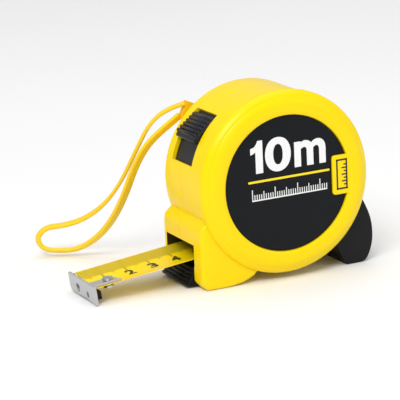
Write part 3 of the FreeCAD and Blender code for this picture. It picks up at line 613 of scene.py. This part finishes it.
# ---------------------------------------------------------------- wrist strap
# A narrow woven ribbon, doubled and held by both ends in the anchor. It leaves the anchor's upper
# half forwards, turns on the floor and comes back to the lower half.
strap_weave = finish("strap_weave", (0.95, 0.62, 0.003), 0.5, grain=1500, bump=0.35, shade=0.10)
ROUTE = [(-23.2, 19.6, 67.5), (-29.5, 23.0, 65.6), (-35.6, 28.0, 59.4), (-39.6, 33.6, 47.8),
         (-43.3, 42.0, 33.4), (-48.0, 50.0, 22.6), (-54.6, 58.0, 15.4), (-62.0, 63.0, 12.8),
         (-68.9, 65.5, 12.6), (-73.2, 66.2, 8.6), (-71.2, 64.6, 3.6), (-64.8, 61.6, 2.6),
         (-58.0, 57.4, 3.1), (-51.8, 50.0, 9.0), (-48.0, 42.0, 18.0), (-44.6, 36.0, 29.2),
         (-42.0, 31.0, 41.2), (-38.2, 26.6, 50.6), (-32.2, 23.0, 57.2), (-25.6, 19.6, 62.9)]
RIBBON_WIDE, RIBBON_THICK, RIBBON_EDGE = 1.8, 0.8, 0.7   # half sizes and softening
section = bpy.data.curves.new("ribbon_section", "CURVE")
edge = section.splines.new("POLY")
ribbon_outline = softened([(x, z, RIBBON_EDGE) for x, z in
                           oblong(-RIBBON_WIDE, -RIBBON_THICK, RIBBON_WIDE, RIBBON_THICK)], 4)
edge.points.add(len(ribbon_outline) - 1)
for point, (a, b) in zip(edge.points, reversed(ribbon_outline)):
    point.co = (a * MM, b * MM, 0, 1)
edge.use_cyclic_u = True
section_object = bpy.data.objects.new("ribbon_section", section)
scene.collection.objects.link(section_object)
section_object.hide_render = True
section_object.hide_viewport = True
ribbon = bpy.data.curves.new("wrist_strap_ribbon", "CURVE")
ribbon.dimensions = "3D"
ribbon.twist_mode = "MINIMUM"
ribbon.resolution_u = 10
ribbon.bevel_mode = "OBJECT"
ribbon.bevel_object = section_object
ribbon.use_fill_caps = True
course = ribbon.splines.new("NURBS")
course.points.add(len(ROUTE) - 1)
for point, place in zip(course.points, ROUTE):
    point.co = (*((START + Vector(place)) * MM), 1)
course.order_u = 3
course.use_endpoint_u = True
ribbon.materials.append(strap_weave)
strap = bpy.data.objects.new("wrist_strap_ribbon", ribbon)
scene.collection.objects.link(strap)
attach(strap, "case")
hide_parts("wrist_strap")

# ---------------------------------------------------------------- strap's anchor
# A small moulded block that leans forward in a notch of the far half and holds the strap's ends.
# A steel pin behind its middle holds it in the notch.
anchor_orange = finish("anchor_orange", (0.88, 0.55, 0.003), 0.4)
refinished(["strap_anchor"], anchor_orange)
refinished(["strap_pin"], steel)

# ---------------------------------------------------------------- belt clip and screws
# A bent strip of bright spring steel on the far side, held by one screw. Four more steel screws go
# from the far side through both halves of the housing.
bright_steel = finish("bright_steel", (0.52, 0.52, 0.53), 0.24, metal=1.0, grain=1200, bump=0.01)
refinished(["belt_clip"], bright_steel)
refinished(["clip_screw", "housing_screws"], steel)

# ---------------------------------------------------------------- camera
# It stands at the front left of the tool, a little above it and far away. It has a long lens and
# is tilted a little.
azimuth, elevation, roll = math.radians(-25), math.radians(14.4), math.radians(-2.7)
distance = 0.887
target = (START + Vector((-27.7, 0, 32))) * MM
camera_data = bpy.data.cameras.new("camera")
camera_data.lens = 200.5
camera_data.sensor_width = 36
camera_data.clip_start = 0.05
camera = bpy.data.objects.new("camera", camera_data)
scene.collection.objects.link(camera)
back = Vector((math.sin(azimuth) * math.cos(elevation), -math.cos(azimuth) * math.cos(elevation),
               math.sin(elevation)))
camera.location = target + back * distance
level = back.to_track_quat("Z", "Y").to_matrix()
camera.rotation_euler = (Matrix.Rotation(roll, 3, back) @ level).to_euler()
scene.camera = camera

# ---------------------------------------------------------------- stage and light
# A white floor that runs on to the horizon, a large soft light on the left, another above, a weak
# fill on the right and an even white sky.
floor_white = finish("floor_white", (0.93, 0.93, 0.93), 0.7, grain=4, shade=0.01, bump=0)
FLOOR_HALF = 3000
floor_corners = [(x, y, 0) for x, y in oblong(-FLOOR_HALF, -FLOOR_HALF, FLOOR_HALF, FLOOR_HALF)]
floor = add_mesh("floor", floor_corners, [(0, 1, 2, 3)], floor_white)


def lamp(name, place, size, watts, aim=(0, 0, 0.03)):
    """A rectangular light of a size in metres, turned towards a point."""
    data = bpy.data.lights.new(name, "AREA")
    data.shape = "RECTANGLE"
    data.size, data.size_y = size
    data.energy = watts
    light = bpy.data.objects.new(name, data)
    light.location = place
    light.rotation_euler = (Vector(place) - Vector(aim)).to_track_quat("Z", "Y").to_euler()
    scene.collection.objects.link(light)


lamp("key", (-0.9, -0.9, 1.3), (0.8, 0.8), 17)
lamp("top", (0.2, 0.1, 1.6), (1.6, 1.6), 9)
lamp("fill", (1.2, -1.4, 0.7), (0.9, 0.7), 2.5)
world = bpy.data.worlds.new("world")
world.use_nodes = True
sky = world.node_tree.nodes["Background"].inputs
sky["Color"].default_value = (1, 1, 1, 1)
sky["Strength"].default_value = 0.52
scene.world = world
scene.view_settings.view_transform = "Standard"
